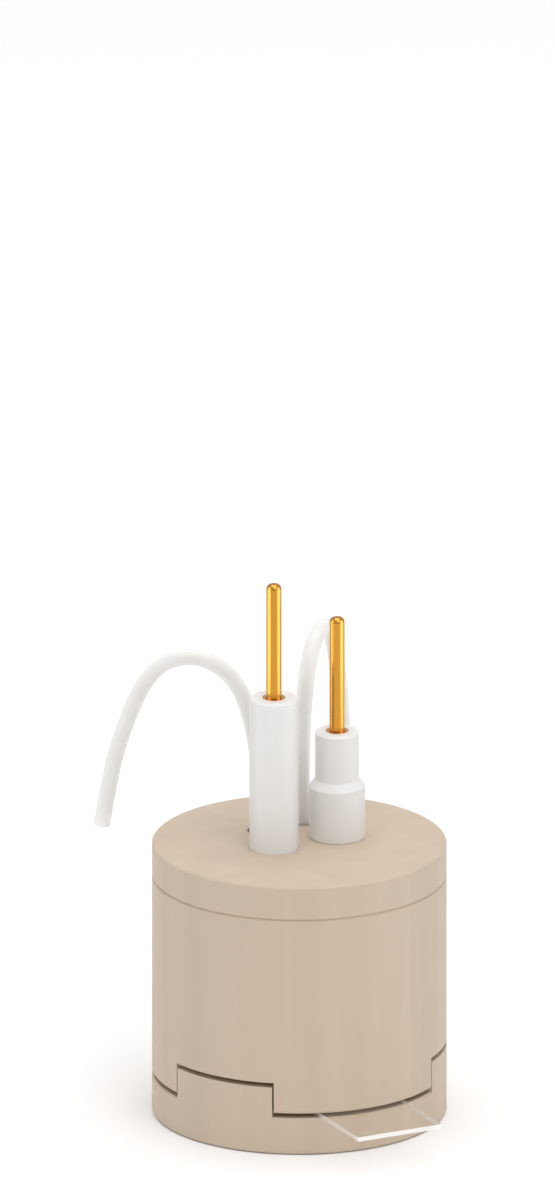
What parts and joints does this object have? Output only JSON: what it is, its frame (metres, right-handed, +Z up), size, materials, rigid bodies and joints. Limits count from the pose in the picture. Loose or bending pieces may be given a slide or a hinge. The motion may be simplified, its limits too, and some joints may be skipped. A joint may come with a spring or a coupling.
{
  "type": "electrochemical cell",
  "caption": "Cylindrical plastic test cell clamped over a conductive glass slide, with electrodes and gas tubes through its lift-off lid.",
  "frame": {"origin": "centre of the light window's mouth, on the main axis, in the plane of the underside", "axes": "+Z up along the main axis; the glass slide's contact end points to the front right, towards +X and -Y"},
  "size_m": [0.0455, 0.0563, 0.0721],
  "materials": {
    "peek": "satin machined",
    "steel": "machined",
    "slide_glass": "polished",
    "seal_rubber": "matt",
    "ptfe": "satin",
    "gold": "polished",
    "platinum": "rolled",
    "tube_glass": "polished",
    "frit": "porous",
    "silver": "coated",
    "gas_ptfe": "translucent"
  },
  "bodies": {
    "base": {"base_plate": "peek", "glass_slide": "slide_glass"},
    "clamp_screw_1": {"clamp_screw_1": "steel"},
    "clamp_screw_2": {"clamp_screw_2": "steel"},
    "clamp_screw_3": {"clamp_screw_3": "steel"},
    "cell": {"cell_body": "peek", "window_seal": "seal_rubber"},
    "lid": {"lid": "peek"},
    "counter": {"counter_rod": "ptfe", "counter_pin": "gold", "counter_lead": "platinum", "counter_foil": "platinum"},
    "reference": {"reference_cap": "ptfe", "reference_pin": "gold", "reference_tube": "tube_glass", "reference_frit": "frit", "reference_wire": "silver"},
    "gas_inlet": {"gas_inlet_tube": "gas_ptfe"},
    "gas_outlet": {"gas_outlet_tube": "gas_ptfe"}
  },
  "joints": [
    {"name": "body_lift", "type": "slide", "parent": "base", "child": "cell", "axis": [0, 0, 1], "range_m": [0, 0.03297]},
    {"name": "lid_lift", "type": "slide", "parent": "cell", "child": "lid", "axis": [0, 0, 1], "range_m": [0, 0.0417]},
    {"name": "counter_draw", "type": "slide", "parent": "lid", "child": "counter", "axis": [0, 0, -1], "range_m": [-0.0275, 0]},
    {"name": "reference_draw", "type": "slide", "parent": "lid", "child": "reference", "axis": [0, 0, -1], "range_m": [-0.0275, 0]},
    {"name": "gas_inlet_draw", "type": "slide", "parent": "lid", "child": "gas_inlet", "axis": [0, 0, -1], "range_m": [-0.0295, 0]},
    {"name": "gas_outlet_draw", "type": "slide", "parent": "lid", "child": "gas_outlet", "axis": [0, 0, -1], "range_m": [-0.0295, 0]},
    {"name": "clamp_screw_1_turn", "type": "hinge", "parent": "base", "child": "clamp_screw_1", "pos_m": [0.01548, -0.00086, 0.00266], "axis": [0, 0, 1], "continuous": true},
    {"name": "clamp_screw_2_turn", "type": "hinge", "parent": "base", "child": "clamp_screw_2", "pos_m": [-0.00699, 0.01384, 0.00266], "axis": [0, 0, 1], "continuous": true},
    {"name": "clamp_screw_3_turn", "type": "hinge", "parent": "base", "child": "clamp_screw_3", "pos_m": [-0.00849, -0.01297, 0.00266], "axis": [0, 0, 1], "continuous": true}
  ]
}
